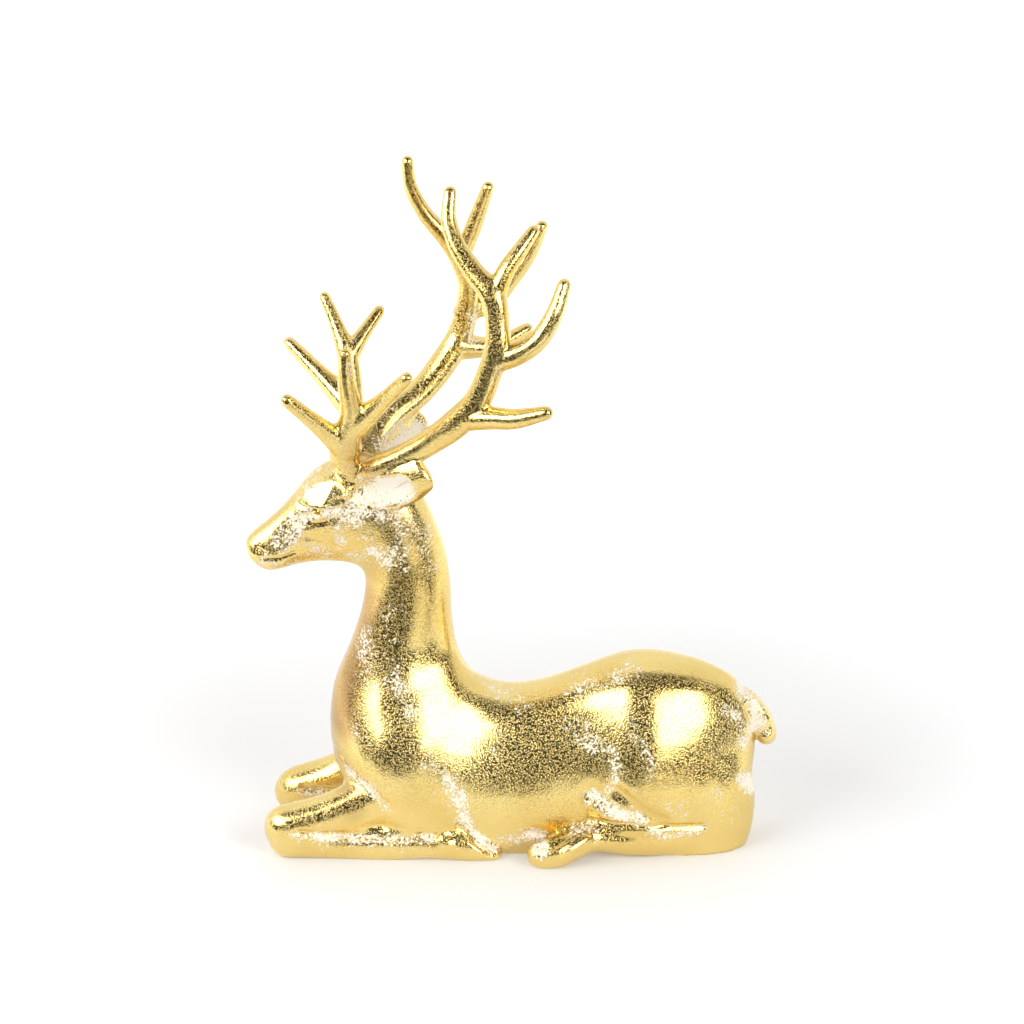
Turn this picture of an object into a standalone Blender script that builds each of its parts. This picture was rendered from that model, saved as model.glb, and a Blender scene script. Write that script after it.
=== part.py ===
"""Reclining stag figurine, cast in one piece of resin.

The nose points to -X, the stag's left side faces -Y and Z is up, with the flat underside at Z = 0.
The pose, the proportions and the carving are written in the figure's own millimetres, which are shares
of its height.
"""

import math

import bmesh
import bpy
import numpy as np
from mathutils import Matrix, Vector

# Driving dimensions, in metres
HEIGHT = 0.250
MODEL_HEIGHT = 253.8
MODEL_MIDDLE = (0.8, -0.5, 0)
MM = HEIGHT / MODEL_HEIGHT
TRIANGLES = 9400

# The body's middle plane, and how far the head swings to the stag's left for each step forward of the poll
MIDLINE = -2
POLL_X = -40
HEAD_TURN = 0.06

# How finely the clay is worked, in figure millimetres
MASS_VOXEL = 1.1
MASS_SMOOTHING = 14
FORM_VOXEL = 0.8
FORM_SMOOTHING = 3
RING_POINTS = 32
STATION_STEP = 1.5
CAP_TURNS = (28, 55, 80)

# What the smoothing takes off a thin form, all round and at its tip
LOST_ROUND = 0.45
LOST_AT_TIP = 2.2

# Trunk, neck and head as ribs from the rump to the nose. Each rib runs from the back or crown to the belly or
# throat: back x, back z, belly x, belly z, half width.
RIBS = [
    (90.0, 43, 88.6, 25, 8.0),
    (88.4, 51.6, 86.2, 12, 17.0),
    (83.2, 60.6, 80.0, -3, 22.0),
    (72.8, 67.2, 70.0, -10, 25.0),
    (58.0, 71.4, 56.0, -11, 26.0),
    (44.0, 72.2, 43.0, -11, 26.0),
    (28.0, 67.2, 29.0, -11, 25.5),
    (12.0, 61.2, 13.0, -11, 25.0),
    (0.0, 59.3, -4.0, -10, 25.0),
    (-9.0, 61.3, -24.0, -8, 24.5),
    (-14.2, 64.2, -43.0, -2, 24.0),
    (-17.2, 68, -57.0, 11, 23.0),
    (-19.0, 72, -64.3, 26, 21.5),
    (-20.5, 77, -67.2, 43, 19.5),
    (-21.4, 83, -65.4, 61, 17.0),
    (-22.0, 90, -59.2, 77, 14.5),
    (-22.3, 98, -54.9, 91, 13.0),
    (-22.9, 105, -53.6, 101, 12.4),
    (-24.4, 114, -55.0, 106.0, 12.2),
    (-27.7, 124, -58.0, 107.6, 12.4),
    (-33.2, 135.4, -61.5, 108.2, 13.0),
    (-43.0, 145, -65.5, 108.5, 13.4),
    (-55.5, 149.4, -69.5, 108.7, 13.2),
    (-66.2, 146.9, -73.5, 108.4, 12.0),
    (-72.9, 142.3, -77.5, 107.8, 10.2),
    (-78.5, 135.6, -81.0, 107.0, 8.6),
    (-83.6, 129.7, -84.5, 106.2, 7.6),
    (-88.7, 124.9, -87.6, 105.8, 7.0),
    (-93.4, 121.2, -90.8, 106.8, 6.5),
    (-97.0, 117.4, -94.6, 110.4, 5.0),
]

# Masses that stand out of the trunk on both sides: centre, half sizes, and the lean about Y in degrees.
# Here and in the legs and strokes below, y is counted outwards from the middle plane.
HAUNCH = ((67, 12.5, 33), (22, 15.5, 29), -12)
SHOULDER = ((-38, 11, 34), (20, 13, 26), 18)
HOCK = ((78, 17, 16), (12.4, 9.5, 15.5), 0)
FLANK_FOLD = ((38, 20, 18.5), (14, 7.5, 6.5), 24)

# Legs as stations along each limb: x, y, z, half height, half width
LEFT_FOREARM = [
    (-34, 13, 30, 15, 9), (-50, 17, 21.5, 10.8, 8), (-66, 19.5, 16, 8.6, 7.6), (-83.2, 20.4, 10.6, 9.4, 8),
]
RIGHT_FOREARM = [
    (-34, 13, 30, 15, 9), (-50, 17, 21.6, 10.8, 8), (-66, 19, 14.6, 8.4, 7.6), (-81, 19.5, 8.6, 8.8, 8),
]
FORE_CANNON = [
    (-82.5, 20, 7.6, 8.2, 7.6), (-66, 20.6, 5.4, 6.2, 6), (-46, 21.6, 5.4, 6.5, 5.8),
    (-30, 22.4, 5.6, 5.6, 5.4),
]
FORE_HOOF = [
    (-30, 22.4, 5.6, 5.6, 5.4), (-21, 22.8, 5.6, 6, 5.6), (-11.4, 23, 3.8, 5, 5), (-6.2, 23, 1.6, 2.8, 3.2),
]
HIND_CANNON = [
    (77, 16, 12, 10, 8), (64, 20, 8, 7.2, 6.4), (46, 21.6, 7, 6.2, 5.8), (30, 23, 8.4, 5.4, 5),
]
HIND_HOOF = [
    (30, 23, 8.6, 5.2, 5), (23, 26.6, 7.8, 5.8, 5.4), (15.5, 29.6, 5, 6.6, 5.8), (9.8, 30, 4, 5.4, 5),
]
TAIL = [(75, 0, 55.4, 4, 6), (84.6, 0, 53.4, 4.8, 6.4), (91, 0, 46.2, 4.7, 6.2), (93.8, 0, 39.8, 4, 5)]

# Swellings and hollows on both sides: path, reach and depth, where a depth below nought stands out
BODY_STROKES = [
    ([(66, 27, 40), (72, 27, 26)], 17, -2.4),
    ([(44, 27, 58), (47, 28, 38)], 13, 1.5),
    ([(22, 27, 44), (30, 27, 40)], 16, -1.4),
    ([(2, 27, 44), (6, 27, 20)], 15, 1.2),
    ([(-34, 26, 48), (-20, 27, 36)], 16, -2.2),
    ([(-46, 23, 62), (-50, 24, 40), (-46, 25, 28)], 9, 1.5),
    ([(34, 29, 27), (40, 29, 22), (50, 29, 15.4)], 3.6, 1.7),
    ([(-66, 24, 24), (-56, 26, 17), (-50, 26, 13)], 3.4, 1.0),
]
HOOF_CLEFTS = [
    ([(-16, 26, 9), (-5, 27, 1)], 2.4, 1.2),
    ([(21, 33, 12), (8, 36, 4)], 2.4, 1.2),
]

# The same on the head, counted outwards from its own middle: brow, eye socket, eye, cheek, mouth, nostril
HEAD_STROKES = [
    ([(-70, 10, 136), (-61, 12, 138)], 7.0, -1.7),
    ([(-75, 8, 128), (-66, 12, 128.5)], 4.2, 1.5),
    ([(-71.5, 9.5, 128.6), (-69, 10.5, 128.8)], 2.8, -1.3),
    ([(-80, 7, 117), (-64, 12, 119)], 4.0, 0.7),
    ([(-94, 4, 110.6), (-81, 8, 110.2)], 1.7, 0.9),
    ([(-94.5, 4, 115.5), (-92.6, 5.6, 115)], 1.6, 0.9),
]

# Ears: x, y, z, half height, half width, with y from the figure's own zero; then the stroke that hollows each
LEFT_EAR = [
    (-56, -10, 139, 4, 2.6), (-48, -16, 141, 7.8, 2.8), (-38, -22, 145, 9, 2.6), (-31, -24, 150.2, 7.3, 2.2),
]
RIGHT_EAR = [
    (-52, 7, 142, 4, 2.6), (-47, 13, 145, 8.4, 2.8), (-39, 19, 148.6, 9.4, 2.6), (-32.6, 23, 151.6, 6, 2.2),
]
EAR_BOWLS = [
    ([(-50, -20, 140), (-36, -26, 146)], 7.0, 2.4, (0, -1, 0)),
    ([(-48, 16, 144), (-37, 22, 149)], 7.0, 2.4, (0, 1, 0)),
]

# Antlers, each as its beam and tines: x, y, z, radius
LEFT_ANTLER = [
    [(-55, -8, 140, 5.4), (-48.6, -14, 147.2, 4.9), (-39.5, -18, 153.1, 4.5), (-28.8, -22, 160.8, 4.5),
     (-19.6, -26, 169, 5), (-12.4, -29, 178, 4.6), (-8, -31, 189.1, 4.2), (-5.2, -32, 198.5, 4.2),
     (-5.2, -31, 207.9, 4), (-6.8, -30, 216.8, 4.2), (-13.6, -27, 225, 3.4), (-19.4, -24, 233.7, 2.8),
     (-22, -21, 241.8, 2.4), (-21.6, -19, 248.4, 2)],
    [(-7, -30, 213, 3.4), (-1.8, -29, 226.2, 2.8), (3, -27, 232.8, 2.4), (6, -25, 236.6, 1.9)],
    [(-6, -32, 193, 4.6), (1, -33, 196.4, 3.8), (8.9, -34, 201.9, 3.3), (14, -34, 210.1, 2.9),
     (17.2, -32, 219, 2.1)],
    [(-16, -28, 171, 5), (-7.6, -32, 172.8, 3.6), (0, -36, 173.8, 3.4), (9.8, -40, 177, 2.2)],
    [(-57.5, -8, 138, 6), (-60, -13, 151.7, 5.8), (-58.8, -17, 160.6, 5.2), (-56.8, -21, 171, 3.8),
     (-58, -25, 183.5, 2.9), (-58.3, -27, 192.5, 2)],
    [(-59, -15, 156.4, 5.4), (-66, -21, 164.4, 3.4), (-77.4, -28, 176.8, 2)],
    [(-56.5, -18, 165.6, 5.2), (-47.9, -23, 174, 3.2), (-38, -31, 186, 1.9)],
]
RIGHT_ANTLER = [
    [(-52, 5, 142, 5.6), (-50.2, 12, 148.6, 5), (-44.8, 18, 155.8, 5), (-33.2, 24, 164.4, 4.8),
     (-25, 28, 174, 5), (-19.8, 30, 182, 4.8), (-16.8, 30, 192.3, 4.2), (-15.8, 29, 203.9, 3.8),
     (-18.8, 27, 213.8, 3.7), (-23.4, 25, 221.8, 3.3), (-31.6, 23, 232.3, 2.6), (-36.4, 21, 243.1, 2.2),
     (-37, 20, 249.6, 1.9)],
    [(-20, 27, 213, 3.4), (-14.2, 26, 225.4, 2.8), (-11.3, 25, 233.6, 2.4), (-9.4, 24, 239.2, 1.9)],
    [(-16.5, 30, 194, 3.8), (-8, 32, 197, 3.2), (-0.6, 33, 204, 2.9), (6, 33, 213.6, 2.6),
     (9.8, 32, 222.4, 2)],
    [(-20, 30, 180, 5.4), (-11, 32, 178.8, 3.6), (-4, 35, 179.6, 2.8), (3.6, 39, 182.6, 1.9)],
    [(-54, 6, 140, 6), (-57, 11, 150, 5), (-58.5, 16, 158.9, 4.6), (-58.9, 19, 167.4, 4.4),
     (-60, 22, 179, 3.6), (-63.3, 25, 188.2, 2.5), (-67.2, 28, 196.8, 1.8)],
    [(-59.5, 17, 162, 5), (-69.3, 22, 171, 3.1), (-79.6, 28, 180, 2)],
    [(-59.5, 22, 178, 3.8), (-54.4, 26, 185.2, 2.6), (-49.6, 30.4, 191.2, 1.8)],
]


def smooth_rows(rows, step):
    """Rows of numbers read at even steps from a smooth curve through the given rows."""
    rows = np.array(rows, float)
    gaps = np.linalg.norm(np.diff(rows[:, :3], axis=0), axis=1)
    at = np.concatenate([[0.0], np.cumsum(gaps)])
    slopes = np.gradient(rows, at, axis=0)
    wanted = np.linspace(0.0, at[-1], max(3, round(at[-1] / step)) + 1)
    spans = np.clip(np.searchsorted(at, wanted, side="right") - 1, 0, len(gaps) - 1)
    width = gaps[spans][:, None]
    t = ((wanted - at[spans])[:, None]) / width
    return (
        (2 * t**3 - 3 * t**2 + 1) * rows[spans]
        + (t**3 - 2 * t**2 + t) * width * slopes[spans]
        + (3 * t**2 - 2 * t**3) * rows[spans + 1]
        + (t**3 - t**2) * width * slopes[spans + 1]
    )


def loft(clay, rings):
    """Adds a closed skin over rings that all have the same number of points."""
    rows, count = len(rings), len(rings[0])
    skin = bmesh.new()
    bmesh.ops.create_grid(skin, x_segments=count, y_segments=rows - 1, size=0.5)
    for vert in skin.verts:
        column = round((vert.co.x + 0.5) * count)
        row = round((vert.co.y + 0.5) * (rows - 1))
        vert.co = rings[row][column % count]
    bmesh.ops.remove_doubles(skin, verts=skin.verts, dist=1e-4)
    bmesh.ops.holes_fill(skin, edges=skin.edges)
    bmesh.ops.recalc_face_normals(skin, faces=skin.faces)
    piece = bpy.data.meshes.new("loft")
    skin.to_mesh(piece)
    skin.free()
    clay.from_mesh(piece)
    bpy.data.meshes.remove(piece)


def ring(centre, out, side, out_reach, side_reach):
    angles = np.linspace(0, math.tau, RING_POINTS, endpoint=False)
    return [
        Vector(centre + out * (out_reach * math.cos(a)) + side * (side_reach * math.sin(a)))
        for a in angles
    ]


def middle_at(x):
    """The y of the figure's middle, which swings to the stag's left in front of the poll."""
    return MIDLINE - HEAD_TURN * max(0.0, POLL_X - x)


def sided(rows, side):
    """Rows whose y is counted outwards from the body's middle plane, placed on one side of it."""
    return [(x, MIDLINE + side * y, *rest) for x, y, *rest in rows]


def add_trunk(clay):
    """Rump, belly, chest, neck and head as one loft over the ribs."""
    rows = []
    for back_x, back_z, belly_x, belly_z, half in RIBS:
        x, z = (back_x + belly_x) / 2, (back_z + belly_z) / 2
        rows.append((x, middle_at(x), z, (back_x - belly_x) / 2, (back_z - belly_z) / 2, half))
    rings = []
    for row in smooth_rows(rows, STATION_STEP):
        reach = np.hypot(row[3], row[4])
        up = np.array([row[3], 0, row[4]]) / reach
        rings.append(ring(row[:3], up, np.array([0, 1.0, 0]), reach, row[5]))
    loft(clay, rings)


def add_limb(clay, stations):
    """A tapering limb with an oval section and rounded ends; a station with one radius is round."""
    stations = np.array([row if len(row) == 5 else (*row, row[3]) for row in stations], float)
    rows = smooth_rows(stations, STATION_STEP)
    along = np.gradient(rows[:, :3], axis=0)
    along /= np.linalg.norm(along, axis=1)[:, None]
    side = np.cross(along[0], (0, 0, 1.0))
    rings = []
    for i, row in enumerate(rows):
        side = side - along[i] * (side @ along[i])
        side /= np.linalg.norm(side)
        up = np.cross(side, along[i])
        turns = [0.0]
        if i == 0:
            turns = [-turn for turn in reversed(CAP_TURNS)] + turns
        elif i == len(rows) - 1:
            turns = turns + list(CAP_TURNS)
        for turn in np.radians(turns):
            reach = min(row[3], row[4])
            centre = row[:3] + along[i] * (reach * math.sin(turn))
            rings.append(ring(centre, up, side, row[3] * math.cos(turn), row[4] * math.cos(turn)))
    loft(clay, rings)


def with_allowance(stations):
    """A thin limb's stations with the size and the tip that smoothing takes off added to them."""
    stations = np.array(stations, float)
    stations[:, 3] += LOST_ROUND
    last = stations[-1, :3] - stations[-2, :3]
    stations[-1, :3] += last * (LOST_AT_TIP / np.linalg.norm(last))
    return stations


def add_mass(clay, side, centre, half_sizes, lean):
    made = bmesh.ops.create_uvsphere(clay, u_segments=RING_POINTS, v_segments=RING_POINTS // 2, radius=1.0)
    place = Matrix.Translation(sided([centre], side)[0]) @ Matrix.Rotation(math.radians(lean), 4, "Y")
    bmesh.ops.transform(clay, matrix=place @ Matrix.Diagonal((*half_sizes, 1.0)), verts=made["verts"])


def joined(clay, voxel, smoothing):
    """The overlapping shapes melted into one skin, then smoothed."""
    mesh = bpy.data.meshes.new("clay")
    clay.to_mesh(mesh)
    clay.free()
    lump = bpy.data.objects.new("clay", mesh)
    bpy.context.scene.collection.objects.link(lump)
    melt = lump.modifiers.new("melt", "REMESH")
    melt.mode = "VOXEL"
    melt.voxel_size = voxel
    soften = lump.modifiers.new("soften", "SMOOTH")
    soften.factor = 0.5
    soften.iterations = smoothing
    graph = bpy.context.evaluated_depsgraph_get()
    made = bpy.data.meshes.new_from_object(lump.evaluated_get(graph))
    bpy.data.objects.remove(lump)
    return made


def press(mesh, path, reach, depth, facing=None):
    """Pushes the skin in along a path, or out where depth is negative, fading to nothing at reach."""
    points = np.empty(len(mesh.vertices) * 3, np.float32)
    normals = np.empty(len(mesh.vertices) * 3, np.float32)
    mesh.vertices.foreach_get("co", points)
    mesh.vertices.foreach_get("normal", normals)
    points, normals = points.reshape(-1, 3), normals.reshape(-1, 3)
    line = np.array(path, float)
    nearest = np.full(len(points), np.inf)
    for a, b in zip(line[:-1], line[1:]):
        t = np.clip((points - a) @ (b - a) / ((b - a) @ (b - a)), 0, 1)
        nearest = np.minimum(nearest, np.linalg.norm(points - (a + t[:, None] * (b - a)), axis=1))
    fade = np.clip(1 - (nearest / reach) ** 2, 0, 1) ** 2
    if facing is not None:
        fade *= np.clip(normals @ np.array(facing, float) * 2, 0, 1)
    points -= normals * (fade * depth)[:, None]
    mesh.vertices.foreach_set("co", points.astype(np.float32).ravel())
    mesh.update()


def body():
    """Trunk, neck, head and legs as one smooth mass with its muscles."""
    clay = bmesh.new()
    add_trunk(clay)
    for side, forearm in ((-1, LEFT_FOREARM), (1, RIGHT_FOREARM)):
        for mass in (HAUNCH, SHOULDER, HOCK, FLANK_FOLD):
            add_mass(clay, side, *mass)
        for stations in (forearm, FORE_CANNON, FORE_HOOF, HIND_CANNON, HIND_HOOF):
            add_limb(clay, sided(stations, side))
    mesh = joined(clay, MASS_VOXEL, MASS_SMOOTHING)
    for path, reach, depth in BODY_STROKES:
        for side in (-1, 1):
            press(mesh, sided(path, side), reach, depth)
    return mesh


def carve(mesh):
    """The carving that shows from a step away."""
    for path, reach, depth, facing in EAR_BOWLS:
        press(mesh, path, reach, depth, facing)
    for side in (-1, 1):
        for path, reach, depth in HEAD_STROKES:
            press(mesh, [(x, middle_at(x) + side * y, z) for x, y, z in path], reach, depth)
        for path, reach, depth in HOOF_CLEFTS:
            press(mesh, sided(path, side), reach, depth)


def figure():
    clay = bmesh.new()
    mass = body()
    clay.from_mesh(mass)
    bpy.data.meshes.remove(mass)
    for stations in (sided(TAIL, 1), LEFT_EAR, RIGHT_EAR):
        add_limb(clay, stations)
    for stations in LEFT_ANTLER + RIGHT_ANTLER:
        add_limb(clay, with_allowance(stations))
    skin = joined(clay, FORM_VOXEL, FORM_SMOOTHING)
    carve(skin)
    skin.transform(Matrix.Scale(MM, 4) @ Matrix.Translation(-Vector(MODEL_MIDDLE)))
    return skin


def ground_block():
    """The cutter that leaves the underside flat."""
    shape = bmesh.new()
    bmesh.ops.create_cube(shape, size=1.0, matrix=Matrix.Diagonal((HEIGHT * 2, HEIGHT * 2, HEIGHT, 1.0)))
    mesh = bpy.data.meshes.new("ground_block")
    shape.to_mesh(mesh)
    shape.free()
    block = bpy.data.objects.new("ground_block", mesh)
    block.location = (0, 0, -HEIGHT / 2)
    block.hide_render = True
    block.display_type = "WIRE"
    return block


def gold_leaf():
    material = bpy.data.materials.new("gold_leaf")
    material.use_nodes = True
    shader = material.node_tree.nodes["Principled BSDF"]
    shader.inputs["Base Color"].default_value = (0.83, 0.6, 0.22, 1)
    shader.inputs["Metallic"].default_value = 1.0
    shader.inputs["Roughness"].default_value = 0.28
    return material


def main():
    for obj in list(bpy.data.objects):
        bpy.data.objects.remove(obj)
    parts = bpy.data.collections.new("reclining_stag")
    cutters = bpy.data.collections.new("cutters")
    for group in (parts, cutters):
        bpy.context.scene.collection.children.link(group)

    skin = figure()
    stag = bpy.data.objects.new("stag_figure", skin)
    parts.objects.link(stag)
    block = ground_block()
    cutters.objects.link(block)

    facets = stag.modifiers.new("facets", "DECIMATE")
    facets.ratio = TRIANGLES / (2.0 * len(skin.polygons))
    flat = stag.modifiers.new("flat_underside", "BOOLEAN")
    flat.operation = "DIFFERENCE"
    flat.solver = "EXACT"
    flat.object = block
    skin.shade_smooth()
    skin.materials.append(gold_leaf())


main()
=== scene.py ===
"""Reclining stag in worn gold leaf: the finely carved figure, its finish and a plain studio.

The nose points to -X, the stag's left side faces the camera at -Y and Z is up. The form is written in the
figure's own millimetres, 253.8 of them to its height, and is scaled to the frame at the end.
"""

import math

import bmesh
import bpy
import numpy as np
from mathutils import Matrix, Vector


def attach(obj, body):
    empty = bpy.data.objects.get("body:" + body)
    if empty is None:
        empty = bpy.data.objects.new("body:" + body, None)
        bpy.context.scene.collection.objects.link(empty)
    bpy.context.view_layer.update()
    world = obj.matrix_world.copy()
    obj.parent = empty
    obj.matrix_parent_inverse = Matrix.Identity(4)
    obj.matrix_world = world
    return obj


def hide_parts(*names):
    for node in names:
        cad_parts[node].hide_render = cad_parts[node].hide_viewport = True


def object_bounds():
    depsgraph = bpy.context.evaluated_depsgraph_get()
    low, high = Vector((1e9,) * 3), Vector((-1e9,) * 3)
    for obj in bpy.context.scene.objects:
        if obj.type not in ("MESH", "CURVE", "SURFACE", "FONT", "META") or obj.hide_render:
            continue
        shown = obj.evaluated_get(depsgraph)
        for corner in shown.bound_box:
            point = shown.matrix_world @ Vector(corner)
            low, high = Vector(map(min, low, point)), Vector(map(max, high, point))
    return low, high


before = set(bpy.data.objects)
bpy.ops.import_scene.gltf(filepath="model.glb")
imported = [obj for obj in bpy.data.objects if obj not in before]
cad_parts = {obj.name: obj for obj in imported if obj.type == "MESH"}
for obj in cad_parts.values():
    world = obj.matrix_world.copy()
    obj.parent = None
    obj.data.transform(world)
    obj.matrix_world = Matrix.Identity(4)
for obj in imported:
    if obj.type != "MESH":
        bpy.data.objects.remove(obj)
FRAME_LOW, FRAME_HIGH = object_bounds()

# The figure's own millimetre
HEIGHT = FRAME_HIGH.z - FRAME_LOW.z
MODEL_HEIGHT = 253.8
MODEL_MIDDLE = Vector((0.8, -0.5, 0))
MM = HEIGHT / MODEL_HEIGHT

# The body's middle plane, and how far the head swings to the stag's left for each step forward of the poll
MIDLINE = -2
POLL_X = -40
HEAD_TURN = 0.06

# The soft faces round an antler, each as its angle in degrees from the upper side towards the camera's
# side, and how far out it lies; then how sharp the edges between them are
ANTLER_FACES = [(20, 0.98), (70, 1.03), (125, 0.9), (180, 0.98), (230, 1.0), (280, 1.0), (325, 1.0)]
ANTLER_EDGES = 6

# How finely the clay is worked: voxels in millimetres, smoothing as the square of the distance it reaches,
# and the share of it done at each turn; then the triangles that are kept
MASS_VOXEL = 0.9
MASS_SMOOTHING = 17.0
FORM_VOXEL = 0.55
FORM_SMOOTHING = 1.2
SMOOTHING_SHARE = 0.5
TRIANGLES = 190000

# Points round each section, the step between sections, the turns in degrees of the rings that round a limb's
# end, and the reach within which points are merged
RING_POINTS = 32
STATION_STEP = 1.2
CAP_TURNS = (28, 55, 80)
MERGE_REACH = 1e-4

# What the smoothing takes off a thin form, all round and at its tip
LOST_ROUND = 0.45
LOST_AT_TIP = 2.2

# How quickly a stroke fades where the skin turns away from the tool, and how round a hollow's floor is
FACING_FADE = 2
HOLLOW_ROUNDNESS = 0.6

# Trunk, neck and head as ribs from the rump to the nose. Each rib runs from the back or crown to the belly
# or throat: back x, back z, belly x, belly z, half width, how much narrower it is above than below, and how
# much fuller it is along the back than an oval.
RIBS = [
    (90.0, 43, 88.6, 25, 6.0, 0.0, 0.0),
    (88.4, 51.6, 86.2, 12, 10.5, 0.1, 0.1),
    (83.2, 60.6, 80.0, -3, 15.6, 0.18, 0.2),
    (72.8, 67.2, 70.0, -10, 21.8, 0.16, 0.25),
    (58.0, 71.4, 56.0, -11, 27.2, 0.17, 0.25),
    (50.0, 72.3, 49.0, -11, 28.3, 0.17, 0.25),
    (43.0, 72.0, 42.0, -11, 27.4, 0.17, 0.25),
    (36.0, 70.3, 36.0, -11, 25.4, 0.16, 0.2),
    (28.0, 67.2, 29.0, -11, 23.6, 0.14, 0.2),
    (12.0, 61.2, 13.0, -11, 24.3, 0.14, 0.2),
    (0.0, 59.3, -4.0, -10, 24.8, 0.15, 0.2),
    (-9.0, 61.3, -24.0, -8, 25.8, 0.18, 0.2),
    (-14.2, 64.2, -43.0, -2, 27.5, 0.23, 0.2),
    (-17.2, 68, -57.0, 11, 28.0, 0.27, 0.1),
    (-19.0, 72, -64.3, 26, 25.4, 0.32, 0.05),
    (-20.5, 77, -67.2, 43, 20.0, 0.32, 0.0),
    (-21.4, 83, -65.4, 61, 15.5, 0.15, 0.0),
    (-22.0, 90, -59.2, 77, 13.8, 0.05, 0.0),
    (-22.3, 98, -54.9, 91, 12.8, 0.0, 0.0),
    (-22.9, 105, -53.6, 101, 12.4, 0.0, 0.0),
    (-24.4, 114, -55.0, 106.0, 12.2, 0.0, 0.0),
    (-27.7, 124, -58.0, 107.6, 12.2, -0.16, 0.0),
    (-33.2, 135.4, -61.5, 108.2, 12.2, -0.28, 0.0),
    (-43.0, 145, -65.5, 108.5, 12.2, -0.32, 0.0),
    (-55.5, 149.4, -69.5, 108.7, 12.0, -0.32, 0.1),
    (-66.2, 146.9, -73.5, 108.4, 11.0, -0.30, 0.2),
    (-72.9, 142.3, -77.5, 107.8, 9.6, -0.18, 0.3),
    (-78.5, 135.6, -81.0, 107.0, 8.6, 0.0, 0.4),
    (-83.6, 129.7, -84.5, 106.2, 7.8, 0.1, 0.5),
    (-88.7, 124.9, -87.6, 105.8, 7.2, 0.12, 0.5),
    (-93.4, 121.2, -90.8, 106.8, 6.4, 0.08, 0.4),
    (-97.0, 117.4, -94.6, 110.4, 4.8, 0.0, 0.1),
]

# Masses that stand out of the trunk on both sides: centre, half sizes, and the lean about Y in degrees.
# Here and in the legs and strokes below, y is counted outwards from the middle plane.
HAUNCH = ((58, 10, 24), (24, 16, 26), -8)
SHOULDER = ((-38, 6, 30), (24, 17, 26), 18)
HOCK = ((66, 7, 16), (24, 16, 36), 0)
FLANK_FOLD = ((38, 20, 18.5), (14, 7.5, 6.5), 24)

# Brow and eyeball in the same way, with y counted from the middle of the head
BROW = ((-65.8, 8.6, 137.4), (9.4, 7.0, 5.6), -12)
EYE = ((-67.4, 9.4, 131.2), (3.8, 3.2, 2.6), -10)

# Flat faces cut with the chisel: a point on the face with y counted outwards from the middle of the head,
# the way it faces as azimuth and elevation, how far it reaches, and the sides that have it, -1 for the left
PARED = [
    ((-66, 11.6, 138.6), -15, 24, 9, (-1, 1)),
    ((-62, 13, 133.6), -6, 12, 4.5, (-1, 1)),
    ((-35.5, 23.8, 147), -6, -22, 17, (-1,)),
]

# Legs as stations along each limb: x, y, z, half height, half width
LEFT_FOREARM = [
    (-34, 13, 30, 15, 9), (-50, 17, 21.5, 10.8, 8), (-66, 19.5, 16, 8.6, 7.6),
    (-83.2, 20.4, 10.6, 9.4, 8),
]
RIGHT_FOREARM = [
    (-34, 13, 30, 15, 9), (-50, 17, 21.6, 10.8, 8), (-66, 19, 14.6, 8.4, 7.6), (-81, 19.5, 8.6, 8.8, 8),
]
FORE_CANNON = [
    (-82.5, 20, 7.6, 8.2, 7.6), (-66, 20.6, 5.4, 6.2, 6), (-46, 21.6, 5.4, 6.5, 5.8),
    (-30, 22.4, 5.6, 5.6, 5.4),
]
FORE_HOOF = [
    (-30, 22.4, 5.6, 5.6, 5.4), (-21, 22.8, 5.6, 6, 5.6), (-11.4, 23, 3.8, 5, 5), (-6.2, 23, 1.6, 2.8, 3.2),
]
HIND_CANNON = [
    (71, 12, 11, 9, 8), (62, 18, 8, 7.2, 6.4), (46, 21.6, 7, 6.2, 5.8), (30, 23, 8.4, 5.4, 5),
]
HIND_HOOF = [
    (30, 23, 8.6, 5.2, 5), (23, 26.6, 7.4, 5.8, 5.4), (15.5, 29.6, 5.4, 6.0, 5.8), (9.8, 30, 4.4, 4.9, 5),
]
TAIL = [(75, 0, 55.4, 4, 6), (84.6, 0, 53.4, 4.8, 6.4), (91, 0, 46.2, 4.7, 6.2), (93.8, 0, 39.8, 4, 5)]

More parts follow.
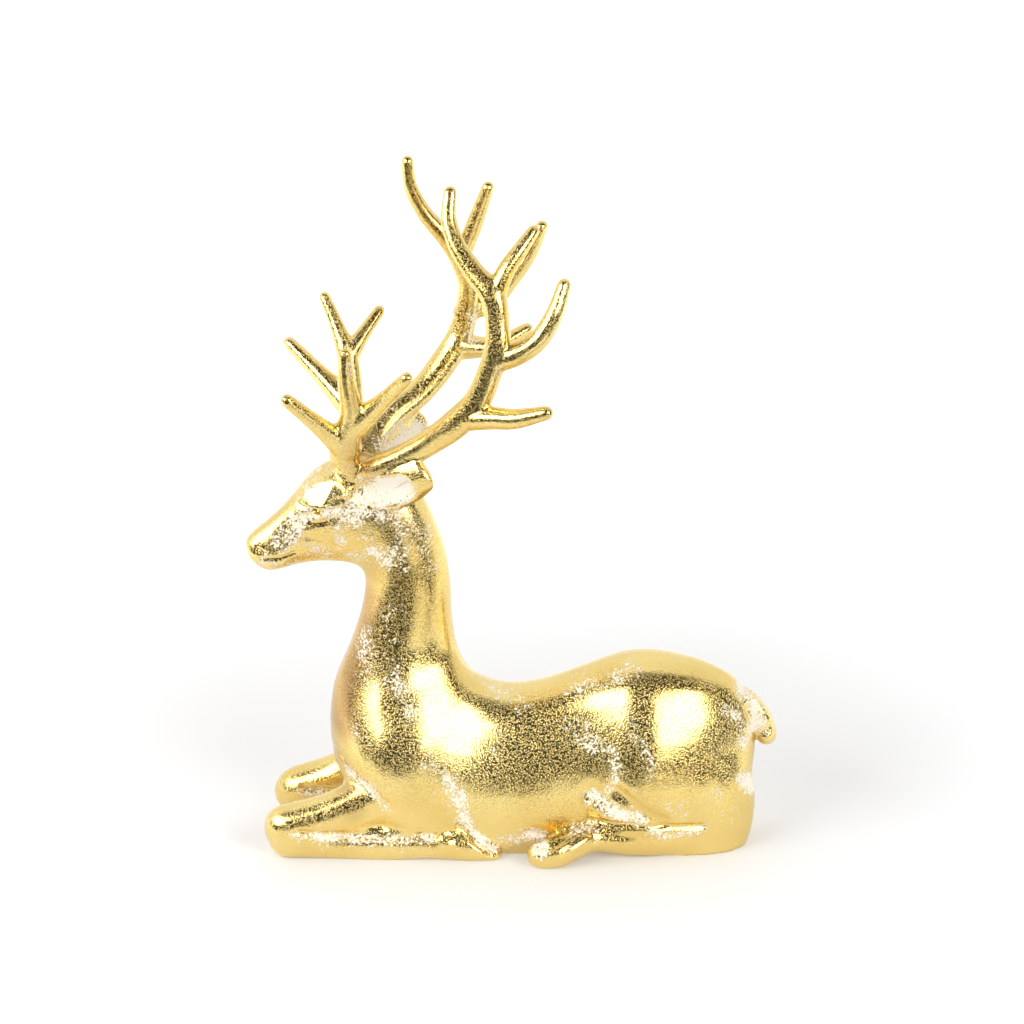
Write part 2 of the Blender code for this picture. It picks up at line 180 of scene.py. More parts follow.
# Strokes of the carving tool on both sides of the figure, seen from the side: path as x and z, reach and
# depth, where a depth below nought stands out. The broad ones shape the body before the antlers are added.
BODY_STROKES = [
    ([(38, 28), (46, 21.8), (55, 16.4)], 4.0, 1.6),
    ([(29, 27), (35, 22), (44, 18)], 5.0, 1.0),
    ([(-66, 37), (-59, 31.5), (-51.5, 27.5), (-45, 21.5)], 3.4, 1.2),
]
FINE_STROKES = [
    ([(-76, 133.4), (-71, 133), (-66, 132.8), (-60, 134)], 1.6, 0.5),
    ([(-77, 127.6), (-73, 129.4), (-71.4, 131)], 2.6, 0.8),
    ([(-75.4, 126), (-72, 127), (-68, 127.6), (-63.4, 129.6)], 1.6, 0.5),
    ([(-70.6, 131.6), (-69.8, 131.6)], 1.3, 1.6),
    ([(-79, 126), (-84, 120)], 4.0, 0.5),
    ([(-74, 121.4), (-68, 120.6), (-63.6, 117.6)], 2.4, 0.4),
    ([(-63, 122), (-55, 118)], 8.0, -0.5),
    ([(-90.4, 112.6), (-84, 112.8), (-78.4, 114.8)], 1.2, 0.6),
    ([(-87, 109.6), (-83, 109.4)], 2.4, -0.4),
    ([(-91.8, 116.2), (-89, 114.8)], 1.2, 0.7),
    ([(29, 15.8), (40, 15.2), (56, 14.4), (70, 12.6)], 1.8, 0.9),
    ([(34, 12.6), (50, 11.8), (68, 9.8)], 2.0, -0.5),
    ([(-78, 12.4), (-59, 10), (-41, 9.2), (-28, 10.6)], 2.0, 1.1),
    ([(-27, 12.4), (-24, 8)], 3.4, -0.8),
    ([(-20, 14), (-14, 8.6), (-7.4, 3)], 1.7, 1.0),
    ([(6, 10.4), (13, 8.6), (22, 13), (29, 15)], 1.8, 0.8),
    ([(22, 8), (27, 10.4)], 2.4, -0.6),
    ([(85.4, 29), (89, 24)], 3.0, 0.9),
]

# Ears: x, y, z, half height, half width, with y from the figure's own zero
LEFT_EAR = [
    (-56, -10, 139, 4, 2.6), (-48, -16, 141, 7.6, 2.8), (-38, -22, 145, 8.8, 3.0),
    (-32, -24, 149.6, 7.0, 2.8),
]
RIGHT_EAR = [
    (-52, 7, 142, 4, 2.6), (-47, 13, 145, 8.4, 2.8), (-39, 19, 148.6, 9.4, 2.6),
    (-32.6, 23, 151.6, 6, 2.2),
]

# The strokes that hollow the ears and the tail: path with y, reach, depth and the way the hollow faces
HOLLOWS = [
    ([(-52.5, -19, 139.4), (-46, -23, 141), (-40.5, -25, 143)], 6.6, 3.2, (0, -1, 0)),
    ([(-49, 15, 144), (-37, 22, 149)], 7.4, 3.0, (0, 1, 0)),
    ([(-47.6, 12, 148), (-40, 15, 151), (-35, 18, 152)], 5.0, 0.8, (0, -1, 0)),
    ([(88.6, -8, 52), (92.4, -8, 44)], 4.2, 1.5, (0, -1, 0)),
    ([(88.6, 4, 52), (92.4, 4, 44)], 4.2, 1.5, (0, 1, 0)),
]

# Antlers, each as its beam and tines: x, y, z, radius
LEFT_ANTLER = [
    [(-55, -8, 140, 5.4), (-48.6, -14, 147.2, 4.9), (-39.5, -18, 153.1, 4.5), (-28.8, -22, 160.8, 4.5),
     (-19.6, -26, 169, 5), (-12.4, -29, 178, 4.6), (-8, -31, 189.1, 4.2), (-5.2, -32, 198.5, 4.2),
     (-5.2, -31, 207.9, 4), (-6.8, -30, 216.8, 4.2), (-13.6, -27, 225, 3.4), (-19.4, -24, 233.7, 2.8),
     (-22, -21, 241.8, 2.4), (-21.6, -19, 248.4, 2)],
    [(-7, -30, 213, 3.4), (-1.8, -29, 226.2, 2.8), (3, -27, 232.8, 2.4), (6, -25, 236.6, 1.9)],
    [(-5.4, -31.2, 193.6, 4.0), (1, -33, 196.4, 3.9), (8.9, -34, 201.9, 3.3), (14, -34, 210.1, 2.9),
     (17.2, -32, 219, 2.1)],
    [(-15.4, -28, 171.4, 4.3), (-7.6, -32, 172.8, 3.8), (0, -36, 173.8, 3.4), (9.8, -40, 177, 2.2)],
    [(-55.5, -8, 139, 4.6), (-58, -11, 147, 4.6), (-59.8, -13.4, 153, 5.2), (-58.8, -17, 160.6, 5),
     (-56.8, -21, 171, 3.8), (-58, -25, 183.5, 2.9), (-58.3, -27, 192.5, 2)],
    [(-59, -15, 156.4, 5.4), (-66, -21, 164.4, 3.4), (-77.4, -28, 176.8, 2)],
    [(-56.5, -18, 165.6, 5.2), (-47.9, -23, 174, 3.2), (-38, -31, 186, 1.9)],
]
RIGHT_ANTLER = [
    [(-52, 5, 142, 5.6), (-50.2, 12, 148.6, 5), (-44.8, 18, 155.8, 5), (-33.2, 24, 164.4, 4.8),
     (-25, 28, 174, 5), (-19.8, 30, 182, 4.8), (-16.8, 30, 192.3, 4.2), (-15.8, 29, 203.9, 3.8),
     (-18.8, 27, 213.8, 3.7), (-23.4, 25, 221.8, 3.3), (-31.6, 23, 232.3, 2.6), (-36.4, 21, 243.1, 2.2),
     (-37, 20, 249.6, 1.9)],
    [(-18.6, 27, 214, 2.8), (-14.2, 26, 225.4, 2.8), (-11.3, 25, 233.6, 2.4), (-9.4, 24, 239.2, 1.9)],
    [(-18, 29.6, 192.5, 3.4), (-8, 32, 196.4, 3.8), (-0.6, 33, 204, 2.9), (6, 33, 213.6, 2.6),
     (9.8, 32, 222.4, 2)],
    [(-20, 30, 180, 5.4), (-11, 32, 178.8, 3.6), (-4, 35, 179.6, 2.8), (3.6, 39, 182.6, 1.9)],
    [(-54, 6, 140, 6), (-57, 11, 150, 5), (-58.5, 16, 158.9, 4.6), (-58.9, 19, 167.4, 4.4),
     (-60, 22, 179, 3.6), (-63.3, 25, 188.2, 2.5), (-67.2, 28, 196.8, 1.8)],
    [(-59.5, 17, 162, 5), (-69.3, 22, 171, 3.1), (-79.6, 28, 180, 2)],
    [(-59.5, 22, 178, 3.8), (-54.4, 26, 185.2, 2.6), (-49.6, 30.4, 191.2, 1.8)],
]

# Where the leaf is worn through to the white ground, on both sides as seen from the side: path as x and z,
# reach, and how much is gone; then the same in the ears, tail and antlers, with y; and where leaf is kept in
# the eye and the ear
WORN = [
    ([(-78, 128), (-72, 129.6), (-70, 130)], 4.2, 1.0),
    ([(-72, 131), (-63, 132)], 3.8, 1.0),
    ([(-85, 119), (-78, 124)], 5.5, 0.7),
    ([(-88, 115), (-80, 117)], 3.5, 0.6),
    ([(-66, 139), (-60, 141)], 4, 0.45),
    ([(-78, 136), (-70, 144), (-60, 148)], 6, 0.5),
    ([(-63, 126), (-61.5, 121)], 4.2, 0.8),
    ([(-58, 132), (-49, 131), (-42, 130)], 6.5, 0.85),
    ([(-58, 129), (-52, 124)], 6, 0.6),
    ([(-76, 118), (-60, 112), (-50, 114)], 5, 0.5),
    ([(-50, 116), (-45, 112), (-42, 117)], 5, 0.8),
    ([(-42, 130), (-39, 122), (-40, 112)], 4.5, 0.55),
    ([(-36, 128), (-31, 120), (-29, 110)], 5, 0.5),
    ([(-90, 111), (-79, 110)], 3, 0.6),
    ([(-46, 128), (-40, 112), (-42, 96), (-46, 82)], 8, 0.3),
    ([(-52, 84), (-54, 74), (-50, 66)], 6, 0.5),
    ([(-44, 72), (-39, 64), (-36, 57)], 6, 0.62),
    ([(-56, 52), (-58, 44)], 5, 0.5),
    ([(-60, 33), (-52, 29), (-46, 22)], 3.4, 0.8),
    ([(-22, 32), (-19.5, 24), (-17.5, 16)], 4.6, 0.95),
    ([(-29, 40), (-22, 33)], 5, 0.5),
    ([(-17, 14), (-12, 9), (-7, 4.4)], 2.6, 1.0),
    ([(-80, 11), (-60, 8.6), (-42, 8.4), (-30, 9.4)], 2.6, 0.85),
    ([(-83, 8), (-60, 5), (-30, 4)], 4, 0.4),
    ([(29, 25), (36, 21), (46, 17)], 4.4, 1.0),
    ([(36.6, 43), (37.6, 34), (35, 28)], 3.0, 0.9),
    ([(30, 13.6), (22, 12.6)], 2.4, 0.7),
    ([(50, 12), (66, 10.6), (72, 13)], 3.4, 0.6),
    ([(-4, 7), (4, 9)], 5, 0.6),
    ([(6, 10), (10, 8.6)], 4.2, 1.0),
    ([(84, 29), (88.6, 23)], 3.6, 1.0),
    ([(80, 55), (84, 46), (85, 40)], 4, 0.62),
    ([(84, 60), (89, 53), (89, 44)], 3.4, 1.0),
    ([(24, 50), (31, 43)], 6, 0.58),
    ([(20, 60), (30, 64), (44, 69)], 4, 0.5),
    ([(-8, 62), (4, 56)], 5, 0.5),
    ([(40, 58), (46, 46), (50, 36)], 5, 0.45),
    ([(60, 20), (74, 22), (80, 14)], 7, 0.4),
    ([(-20, 52), (-8, 44)], 8, 0.35),
]
WORN_THROUGH = [
    ([(-52, -19, 139.6), (-46, -22, 141), (-40.5, -24, 143)], 7, 2.0),
    ([(-49, 15, 144), (-37, 22, 149)], 8, 1.5),
    ([(-48, 8, 149), (-41, 12, 152), (-35, 16, 153)], 7, 0.75),
    ([(88.6, -7, 53), (92.4, -7, 44)], 3.6, 1.0),
    ([(88.6, 3, 53), (92.4, 3, 44)], 3.6, 1.0),
    ([(-50, -14, 147), (-40, -18, 153)], 5, 0.5),
    ([(-47, 14, 152), (-36, 22, 162)], 6, 0.6),
    ([(-5, -34, 186), (-3, -34, 196)], 5, 0.45),
    ([(-15, 28, 196), (-14, 28, 184)], 5, 0.6),
    ([(-57, -24, 178), (-56, -28, 192)], 3, 0.5),
    ([(-60, 20, 172), (-60, 22, 182)], 5, 0.55),
    ([(-20, 28, 222), (-30, 24, 232)], 4, 0.5),
]
LEAF_KEPT = [
    ([(-70.6, 131.6), (-69.8, 131.6)], 1.4),
    ([(-48.6, -20, 142.4), (-45, -22, 146.6), (-42, -22, 149)], 1.1),
    ([(-73, -14, 126.4), (-68, -15, 128)], 1.4),
]

# Painted shade: where the leaf is painted a darker, redder tone along the turned-away front of the neck and
# chest, at the antler roots and down the tail's back, seen from the side
RED_SHADE_PATHS = [
    ([(-53, 96), (-55, 84), (-59, 70), (-63, 50)], 10, 0.95),
    ([(-67, 60), (-68, 42)], 6, 0.6),
    ([(-66, 40), (-58, 20)], 7, 0.45),
    ([(-50, 112), (-52, 98)], 7, 0.35),
    ([(-56, 158), (-54, 148), (-48, 148)], 8, 0.45),
    ([(90, 40), (92, 30)], 5, 0.4),
]

# How many times its reach a patch of wear spreads, and how softly kept leaf ends
WORN_SPREAD = 1.35
KEPT_SOFTNESS = 0.3

# The colours of the finish
GOLD = (0.90, 0.70, 0.27, 1)
DEEP_GOLD = (0.82, 0.60, 0.20, 1)
PALE_GOLD = (0.93, 0.84, 0.60, 1)
# A darker, redder colour painted as shade on the turned-away edges of the neck, chest, antler roots and tail
RED_SHADE_COLOUR = (0.50, 0.31, 0.12, 1)
GESSO = (0.90, 0.82, 0.68, 1)

# The leaf's patterns, each as about how many of its spots lie along a metre, and how high its relief stands
GRAIN = 1400.0
FLECKS = 1000.0
CRINKLE = 500.0
PATCHES = 160.0
CLOUDS = 30.0
RELIEF_HEIGHT = 0.00015

# How worn the leaf is where it starts to be bare and is all bare, and the same for where it is thin
BARE_FROM_TO = (0.70, 0.80)
THIN_FROM_TO = (0.35, 1.2)

# The camera, with lengths in metres and angles in degrees as in all of the studio
FOCAL_PIXELS = 3609
FRAME_PIXELS = 1024
SENSOR_MM = 36.0
CAMERA_ELEVATION = 20.0
CAMERA_DISTANCE = 1307.3 * MM
VIEW_MIDDLE = (Vector((0, 0, 126.2)) - MODEL_MIDDLE) * MM
FAR_CLIP = 20

# The table, and a card in front of it, as corners from above
TABLE_CORNERS = [(-1.4, -0.18), (0.05, -0.18), (0.08, -0.15), (1.4, -0.15), (1.4, 1.8), (-1.4, 1.8)]
CARD_CORNERS = [(0.03, -0.33), (0.2, -0.33), (0.2, -0.19), (0.03, -0.19)]
TABLE_WHITE = 0.71

# The table's own glow close by and far off, and between which distances it rises
NEAR_GLOW = 0.20
FAR_GLOW = 0.90
GLOW_RISE = (0.12, 0.5)

# The brightness of the room in front, of the sweep behind, of the wall at the left as a share of the sweep,
# and of what the camera sees behind the figure
ROOM_LIGHT = 0.06
SWEEP_LIGHT = 0.98
WALL_SHARE = 0.4
BACKDROP_LIGHT = 1.1

# Softboxes: azimuth, elevation, width, height and brightness; then how far they stand off, and from where
LEFT_SOFTBOX = (-50, 29, 0.58, 0.44, 6.5)
RIGHT_SOFTBOX = (37, 22, 0.50, 0.53, 6.5)
SIDE_SOFTBOX = (-78, 28, 0.36, 0.24, 3.0)
SOFTBOX_DISTANCE = 0.9
LIT_MIDDLE = Vector((0, 0, 0.08))


def placed(name, data):
    """A new object in the scene."""
    made = bpy.data.objects.new(name, data)
    bpy.context.scene.collection.objects.link(made)
    return made


def smooth_rows(rows, step):
    """Rows of numbers read at even steps from a smooth curve through the given rows."""
    rows = np.array(rows, float)
    gaps = np.linalg.norm(np.diff(rows[:, :3], axis=0), axis=1)
    at = np.concatenate([[0.0], np.cumsum(gaps)])
    slopes = np.gradient(rows, at, axis=0)
    wanted = np.linspace(0.0, at[-1], max(3, round(at[-1] / step)) + 1)
    spans = np.clip(np.searchsorted(at, wanted, side="right") - 1, 0, len(gaps) - 1)
    width = gaps[spans][:, None]
    t = (wanted - at[spans])[:, None] / width
    return (
        (2 * t**3 - 3 * t**2 + 1) * rows[spans]
        + (t**3 - 2 * t**2 + t) * width * slopes[spans]
        + (3 * t**2 - 2 * t**3) * rows[spans + 1]
        + (t**3 - t**2) * width * slopes[spans + 1]
    )


def loft(clay, rings):
    """Adds a closed skin over rings that all have the same number of points."""
    gaps = len(rings) - 1
    count = len(rings[0])
    # The flat grid reaches this far each way from its middle, and rolls up into the rings
    half = 0.5
    skin = bmesh.new()
    bmesh.ops.create_grid(skin, x_segments=count, y_segments=gaps, size=half)
    for vert in skin.verts:
        column = round((vert.co.x + half) * count)
        row = round((vert.co.y + half) * gaps)
        vert.co = rings[row][column % count]
    bmesh.ops.remove_doubles(skin, verts=skin.verts, dist=MERGE_REACH)
    bmesh.ops.holes_fill(skin, edges=skin.edges)
    bmesh.ops.recalc_face_normals(skin, faces=skin.faces)
    piece = bpy.data.meshes.new("loft")
    skin.to_mesh(piece)
    skin.free()
    clay.from_mesh(piece)
    bpy.data.meshes.remove(piece)


def ring(centre, out, side, out_reach, side_reach, narrowing=0.0, fullness=0.0):
    """An oval, made narrower towards out by narrowing and fuller near its outer end by fullness."""
    points = []
    for a in np.linspace(0, math.tau, RING_POINTS, endpoint=False):
        height = math.cos(a)
        across = math.sin(a) * (1 - narrowing * height + fullness * max(0.0, height) ** 4)
        points.append(Vector(centre + out * (out_reach * height) + side * (side_reach * across)))
    return points


def faceted(centre, out, side, out_reach, side_reach):
    """An antler's section, whose soft faces catch the light in bands."""
    points = []
    for a in np.linspace(0, math.tau, RING_POINTS, endpoint=False):
        nearness = [max(0.0, math.cos(a - math.radians(face))) / far for face, far in ANTLER_FACES]
        r = sum(near**ANTLER_EDGES for near in nearness) ** (-1 / ANTLER_EDGES)
        height = r * math.cos(a)
        across = r * math.sin(a)
        points.append(Vector(centre + out * (out_reach * height) + side * (side_reach * across)))
    return points


def turned(azimuth, elevation):
    """The direction of something seen at these angles, where azimuth nought is towards the camera."""
    a = math.radians(azimuth)
    e = math.radians(elevation)
    return Vector((math.sin(a) * math.cos(e), -math.cos(a) * math.cos(e), math.sin(e)))


def middle_at(x):
    """The y of the figure's middle, which swings to the stag's left in front of the poll."""
    return MIDLINE - HEAD_TURN * max(0.0, POLL_X - x)


def sided(rows, side):
    """Rows whose y is counted outwards from the body's middle plane, placed on one side of it."""
    return [(x, MIDLINE + side * y, *rest) for x, y, *rest in rows]


def add_trunk(clay):
    """Rump, belly, chest, neck and head as one loft over the ribs."""
    rows = []
    for back_x, back_z, belly_x, belly_z, *widths in RIBS:
        x = (back_x + belly_x) / 2
        z = (back_z + belly_z) / 2
        rows.append((x, middle_at(x), z, (back_x - belly_x) / 2, (back_z - belly_z) / 2, *widths))
    rings = []
    for row in smooth_rows(rows, STATION_STEP):
        reach = np.hypot(row[3], row[4])
        up = np.array([row[3], 0, row[4]]) / reach
        rings.append(ring(row[:3], up, np.array([0, 1.0, 0]), reach, *row[5:]))
    loft(clay, rings)


def add_limb(clay, stations, section=ring):
    """A tapering limb with rounded ends. A station with one radius is as wide as it is high."""
    stations = np.array([row if len(row) == 5 else (*row, row[3]) for row in stations], float)
    rows = smooth_rows(stations, STATION_STEP)
    along = np.gradient(rows[:, :3], axis=0)
    along /= np.linalg.norm(along, axis=1)[:, None]
    side = np.cross(along[0], (0, 0, 1.0))
    # The faces of every tine lie alike, whichever way it runs
    upwards = 1
    if section is faceted and side[1] > 0:
        side = -side
        upwards = -1
    rings = []
    for i, row in enumerate(rows):
        side = side - along[i] * (side @ along[i])
        side /= np.linalg.norm(side)
        up = np.cross(side, along[i]) * upwards
        turns = [0.0]
        if i == 0:
            turns = [-turn for turn in reversed(CAP_TURNS)] + turns
        elif i == len(rows) - 1:
            turns = turns + list(CAP_TURNS)
        for turn in np.radians(turns):
            centre = row[:3] + along[i] * (min(row[3:]) * math.sin(turn))
            high, wide = row[3:] * math.cos(turn)
            rings.append(section(centre, up, side, high, wide))
    loft(clay, rings)


def with_allowance(stations):
    """A thin limb's stations with the size and the tip that smoothing takes off added to them."""
    stations = np.array(stations, float)
    stations[:, 3] += LOST_ROUND
    last = stations[-1, :3] - stations[-2, :3]
    stations[-1, :3] += last * (LOST_AT_TIP / np.linalg.norm(last))
    return stations


def add_mass(clay, side, centre, half_sizes, lean, on_head=False):
    """A muscle, brow or eyeball: a stretched ball that leans about Y."""
    made = bmesh.ops.create_uvsphere(clay, u_segments=RING_POINTS, v_segments=RING_POINTS // 2, radius=1.0)
    x, y, z = centre
    middle = middle_at(x) if on_head else MIDLINE
    place = Matrix.Translation((x, middle + side * y, z)) @ Matrix.Rotation(math.radians(lean), 4, "Y")
    bmesh.ops.transform(clay, matrix=place @ Matrix.Diagonal((*half_sizes, 1.0)), verts=made["verts"])


def made_with(mesh, *modifiers):
    """A new mesh: this one as the given modifiers leave it. Each is its type and its settings."""
    lump = placed("clay", mesh)
    for kind, settings in modifiers:
        modifier = lump.modifiers.new(kind.lower(), kind)
        for name, value in settings.items():
            setattr(modifier, name, value)
    graph = bpy.context.evaluated_depsgraph_get()
    made = bpy.data.meshes.new_from_object(lump.evaluated_get(graph))
    bpy.data.objects.remove(lump)
    bpy.data.meshes.remove(mesh)
    return made


def joined(clay, voxel, smoothing):
    """The overlapping shapes melted into one skin, then smoothed."""
    mesh = bpy.data.meshes.new("clay")
    clay.to_mesh(mesh)
    clay.free()
    melt = ("REMESH", {"mode": "VOXEL", "voxel_size": voxel})
    soften = ("SMOOTH", {"factor": SMOOTHING_SHARE, "iterations": round(smoothing / voxel**2)})
    return made_with(mesh, melt, soften)


def read(mesh, name):
    """The skin's points or normals, a row of x, y and z for each."""
    values = np.empty(len(mesh.vertices) * 3, np.float32)
    mesh.vertices.foreach_get(name, values)
    return values.reshape(-1, 3).astype(float)


def move(mesh, points):
    """Puts the skin's points at these places."""
    mesh.vertices.foreach_set("co", points.astype(np.float32).ravel())
    mesh.update()


def write(mesh, name, values):
    """Keeps a number for each of the skin's points, for the finish to read."""
    layer = mesh.attributes.new(name, "FLOAT", "POINT")
    layer.data.foreach_set("value", values.astype(np.float32))


def near_path(points, path, reach):
    """One on the path, fading to nothing at reach. A path without y is measured as seen from the side."""
    line = np.array(path, float)
    if line.shape[1] == 2:
        points = points[:, [0, 2]]
    nearest = np.full(len(points), np.inf)
    for a, b in zip(line[:-1], line[1:]):
        t = np.clip((points - a) @ (b - a) / ((b - a) @ (b - a)), 0, 1)
        nearest = np.minimum(nearest, np.linalg.norm(points - (a + t[:, None] * (b - a)), axis=1))
    return np.clip(1 - (nearest / reach) ** 2, 0, 1) ** 2


def press(mesh, path, reach, depth, facing=None):
    """Pushes the skin in along a path, or out where depth is negative, fading to nothing at reach."""
    points = read(mesh, "co")
    normals = read(mesh, "normal")
    fade = near_path(points, path, reach)
    if facing is None:
        towards_tool = abs(normals[:, 1])
    else:
        towards_tool = normals @ np.array(facing, float)
        fade **= HOLLOW_ROUNDNESS
    fade *= np.clip(towards_tool * FACING_FADE, 0, 1)
    move(mesh, points - normals * (fade * depth)[:, None])


def pare(mesh, spot, azimuth, elevation, reach, sides):
    """Cuts the skin back to a flat face."""
    points = read(mesh, "co")
    for side in sides:
        face = np.array(turned(azimuth, elevation)) * (1, -side, 1)
        at = np.array((spot[0], middle_at(spot[0]) + side * spot[1], spot[2]))
        beyond = (points - at) @ face
        cut = (beyond > 0) & (np.linalg.norm(points - at, axis=1) < reach)
        points[cut] -= beyond[cut, None] * face
    move(mesh, points)


def body():
    """Trunk, neck, head and legs as one smooth mass with its muscles."""
    clay = bmesh.new()
    add_trunk(clay)
    for side, forearm in ((-1, LEFT_FOREARM), (1, RIGHT_FOREARM)):
        for mass in (HAUNCH, SHOULDER, HOCK, FLANK_FOLD):
            add_mass(clay, side, *mass)
        for stations in (forearm, FORE_CANNON, FORE_HOOF, HIND_CANNON, HIND_HOOF):
            add_limb(clay, sided(stations, side))
    mesh = joined(clay, MASS_VOXEL, MASS_SMOOTHING)
    for stroke in BODY_STROKES:
        press(mesh, *stroke)
    return mesh


def carve(mesh):
    """The fine carving: face, ears, creases, hooves and tail."""
    for face in PARED:
        pare(mesh, *face)
    for stroke in HOLLOWS + FINE_STROKES:
        press(mesh, *stroke)


def figure():
    """The whole carved figure in its own millimetres."""
    clay = bmesh.new()
    trunk_and_legs = body()
    clay.from_mesh(trunk_and_legs)
    bpy.data.meshes.remove(trunk_and_legs)
    for stations in (sided(TAIL, 1), LEFT_EAR, RIGHT_EAR):
        add_limb(clay, stations)
    for side in (-1, 1):
        for mass in (BROW, EYE):
            add_mass(clay, side, *mass, on_head=True)
    for stations in LEFT_ANTLER + RIGHT_ANTLER:
        add_limb(clay, with_allowance(stations), faceted)
    skin = joined(clay, FORM_VOXEL, FORM_SMOOTHING)
    carve(skin)
    keep = TRIANGLES / (2.0 * len(skin.polygons))
    return made_with(skin, ("DECIMATE", {"ratio": keep}))


def set_to_frame(mesh):
    """Scales the figure to metres, flattens its underside and fits it to the frame's box."""
    points = (read(mesh, "co") - np.array(MODEL_MIDDLE)) * MM
    points[:, 2] = np.maximum(points[:, 2], 0)
    low = points.min(0)
    high = points.max(0)
    move(mesh, np.array(FRAME_LOW) + (points - low) / (high - low) * np.array(FRAME_HIGH - FRAME_LOW))


def mark_leaf(mesh):
    """Writes how far the leaf is worn and how much painted red shade lies at each point, read by the finish.
    """
    points = read(mesh, "co")
    worn = np.zeros(len(points))
    red_shade = np.zeros(len(points))
    for path, reach, gone in WORN + WORN_THROUGH:
        worn = np.maximum(worn, near_path(points, path, reach * WORN_SPREAD) * gone)
    for path, reach in LEAF_KEPT:
        worn *= 1 - near_path(points, path, reach) ** KEPT_SOFTNESS
    # Painted shade: a darker, redder tone along the front of the neck and chest and a few other turned-away
    # edges
    for path, reach, share in RED_SHADE_PATHS:
        red_shade = np.maximum(red_shade, near_path(points, path, reach) * share)
    write(mesh, "worn", worn)
    write(mesh, "red_shade", red_shade)


class Maths:
    """A socket that takes part in Python expressions; each operation adds its Math node."""

    def __init__(self, tree, socket):
        self.tree = tree
        self.socket = socket

    def combine(self, operation, first, second):
        return self.tree.node("ShaderNodeMath", {"operation": operation}, {0: first, 1: second})

    def __add__(self, other):
        return self.combine("ADD", self, other)

    __radd__ = __add__

    def __sub__(self, other):
        return self.combine("SUBTRACT", self, other)

    def __rsub__(self, other):
        return self.combine("SUBTRACT", other, self)

    def __mul__(self, other):
        return self.combine("MULTIPLY", self, other)

    __rmul__ = __mul__

    def most(self, other):
        """The larger of the two."""
        return self.combine("MAXIMUM", self, other)

    def step(self, low, high):
        """Nought below low, one above high, and smooth between."""
        sockets = {"Value": self, "From Min": low, "From Max": high}
        return self.tree.node("ShaderNodeMapRange", {"interpolation_type": "SMOOTHSTEP"}, sockets)


class Tree:
    """A node tree with one way to add a node: its type, its settings, then its sockets' values or links."""

    def __init__(self, owner):
        owner.use_nodes = True
        self.nodes = owner.node_tree.nodes
        self.links = owner.node_tree.links
        self.nodes.clear()

    def node(self, kind, settings=None, sockets=None, output=0):
        made = self.nodes.new(kind)
        for name, value in (settings or {}).items():
            setattr(made, name, value)
        for name, value in (sockets or {}).items():
            if isinstance(value, Maths):
                self.links.new(value.socket, made.inputs[name])
            else:
                made.inputs[name].default_value = value
        return Maths(self, made.outputs[output]) if made.outputs else None

    def mix(self, factor, first, second):
        """One colour shading into another."""
        sockets = {0: factor, 6: first, 7: second}
        return self.node("ShaderNodeMix", {"data_type": "RGBA"}, sockets, output=2)

    def noise(self, where, scale, detail, roughness):
        """A cloudy pattern from nought to one."""
        sockets = {"Vector": where, "Scale": scale, "Detail": detail, "Roughness": roughness}
        return self.node("ShaderNodeTexNoise", None, sockets)


def grey(brightness):
    """A colour without a hue."""
    return (brightness, brightness, brightness, 1)


def leaf_finish():
    """Gold leaf over white: burnished with a fine grain, worn through in patches and flecks, with a darker,
    redder shade painted on its turned-away edges.
    """
    material = bpy.data.materials.new("worn_gold_leaf")
    tree = Tree(material)
    where = tree.node("ShaderNodeTexCoord", output=3)
    worn = tree.node("ShaderNodeAttribute", {"attribute_name": "worn"}, output=2)
    red_shade = tree.node("ShaderNodeAttribute", {"attribute_name": "red_shade"}, output=2)

    grain = tree.noise(where, GRAIN, 2.0, 0.6)
    pits = grain.step(0.50, 0.60)
    crinkle = tree.noise(where, CRINKLE, 2.0, 0.5)
    flecks = tree.noise(where, FLECKS, 3.0, 0.65)
    patches = tree.noise(where, PATCHES, 4.0, 0.65)
    clouds = tree.noise(where, CLOUDS, 2.0, 0.5)

    mottle = (flecks - 0.5) * 3.0 + (patches - 0.5) * 1.8
    bare = (mottle + worn).step(*BARE_FROM_TO)
    thin = (mottle * 0.8 + worn * 1.1).step(*THIN_FROM_TO)

    gold = tree.mix(clouds.step(0.35, 0.7), GOLD, DEEP_GOLD)
    # Painted shade: the leaf darkened and reddened on the turned-away front of the neck and chest, the
    # antler roots and the tail's back
    gold = tree.mix(red_shade, gold, RED_SHADE_COLOUR)
    leaf = tree.mix(thin * 0.7, gold, PALE_GOLD)
    colour = tree.mix(bare, leaf, GESSO)
    relief = grain * 0.4 + pits * 0.2 + crinkle * 0.28 - bare * 0.4
    sockets = {"Strength": 1.0, "Distance": RELIEF_HEIGHT, "Height": relief}
    bump = tree.node("ShaderNodeBump", None, sockets)
    sockets = {
        "Base Color": colour,
        "Metallic": 1 - bare.most(thin * 0.5),
        "Roughness": 0.16 + thin * 0.2 + bare * 0.35,
        "Normal": bump,
    }
    shader = tree.node("ShaderNodeBsdfPrincipled", None, sockets)
    tree.node("ShaderNodeOutputMaterial", None, {"Surface": shader})
    return material


def stag():
    """The carved and gilded figure, in place of the plain one."""
    mesh = figure()
    mark_leaf(mesh)
    set_to_frame(mesh)
    mesh.name = "reclining_stag"
    mesh.shade_smooth()
    mesh.materials.clear()
    mesh.materials.append(leaf_finish())
    piece = placed("reclining_stag", mesh)
    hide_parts("stag_figure")
    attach(piece, "root")


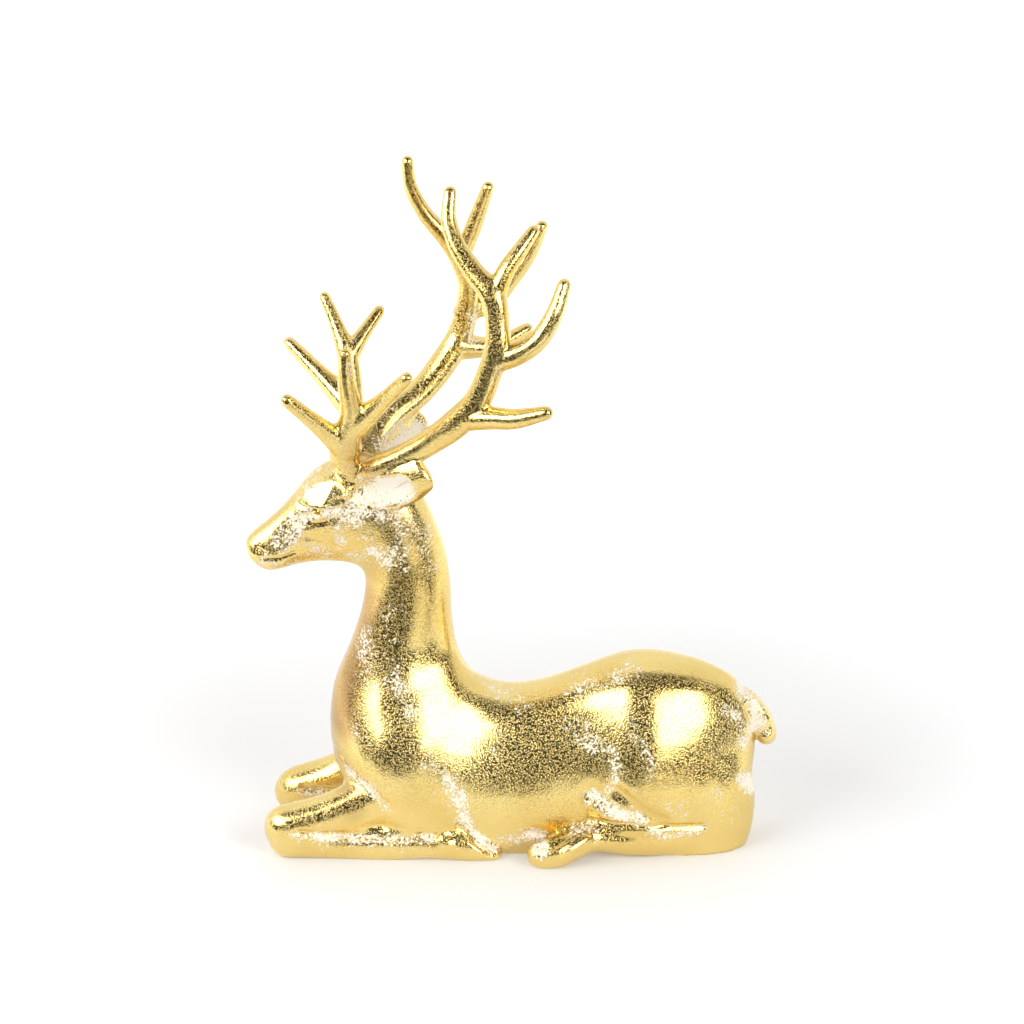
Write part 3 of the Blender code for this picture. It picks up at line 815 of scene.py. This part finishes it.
def floor():
    """A white table and, in front of it, a white card that the neck mirrors."""
    shape = bmesh.new()
    for corners in (TABLE_CORNERS, CARD_CORNERS):
        made = bmesh.ops.create_circle(shape, cap_ends=True, segments=len(corners), radius=1.0)
        for vert, (x, y) in zip(made["verts"], corners):
            vert.co = (x, y, 0)
    bmesh.ops.recalc_face_normals(shape, faces=shape.faces)
    mesh = bpy.data.meshes.new("floor")
    shape.to_mesh(mesh)
    shape.free()
    material = bpy.data.materials.new("white_table")
    tree = Tree(material)
    place = tree.node("ShaderNodeTexCoord", output=3)
    away = tree.node("ShaderNodeVectorMath", {"operation": "LENGTH"}, {0: place}, output=1)
    glow = tree.mix(away.step(*GLOW_RISE), grey(NEAR_GLOW), grey(FAR_GLOW))
    sockets = {
        "Base Color": grey(TABLE_WHITE),
        "Roughness": 0.7,
        "Emission Color": glow,
        "Emission Strength": 1.0,
    }
    shader = tree.node("ShaderNodeBsdfPrincipled", None, sockets)
    tree.node("ShaderNodeOutputMaterial", None, {"Surface": shader})
    mesh.materials.append(material)
    placed("floor", mesh)


def stand_off(holder, middle, direction, distance):
    """Puts a light or the camera this far from the middle in the given direction, facing it."""
    holder.location = middle + direction * distance
    holder.rotation_euler = direction.to_track_quat("Z", "Y").to_euler()


def softbox(name, azimuth, elevation, width, height, radiance):
    """A lit panel, as bright all over whatever its size."""
    light = bpy.data.lights.new(name, "AREA")
    light.shape = "RECTANGLE"
    light.size = width
    light.size_y = height
    light.energy = radiance * math.pi * width * height
    stand_off(placed(name, light), LIT_MIDDLE, turned(azimuth, elevation), SOFTBOX_DISTANCE)


def studio():
    """A white sweep behind, a dark room in front with a pale wall at its left, and three softboxes."""
    world = bpy.data.worlds.new("studio")
    bpy.context.scene.world = world
    tree = Tree(world)
    direction = tree.node("ShaderNodeTexCoord")
    right = tree.node("ShaderNodeSeparateXYZ", None, {0: direction})
    back = tree.node("ShaderNodeSeparateXYZ", None, {0: direction}, output=1)
    left_wall = (0 - right).step(0.4, 0.8) * back.step(-0.5, -0.2) * WALL_SHARE
    sweep = back.step(-0.15, 0.1).most(left_wall)
    seen = tree.node("ShaderNodeLightPath")
    strength = (ROOM_LIGHT + sweep * SWEEP_LIGHT).most(seen * BACKDROP_LIGHT)
    background = tree.node("ShaderNodeBackground", None, {"Color": grey(1), "Strength": strength})
    tree.node("ShaderNodeOutputWorld", None, {"Surface": background})

    softbox("left_softbox", *LEFT_SOFTBOX)
    softbox("right_softbox", *RIGHT_SOFTBOX)
    softbox("side_softbox", *SIDE_SOFTBOX)


def camera():
    """The view from the stag's left side, a little from above."""
    lens = bpy.data.cameras.new("camera")
    lens.sensor_width = SENSOR_MM
    lens.lens = FOCAL_PIXELS * SENSOR_MM / FRAME_PIXELS
    lens.clip_end = FAR_CLIP
    holder = placed("camera", lens)
    stand_off(holder, VIEW_MIDDLE, turned(0, CAMERA_ELEVATION), CAMERA_DISTANCE)
    bpy.context.scene.camera = holder


camera()
stag()
floor()
studio()
bpy.context.scene.view_settings.view_transform = "Standard"
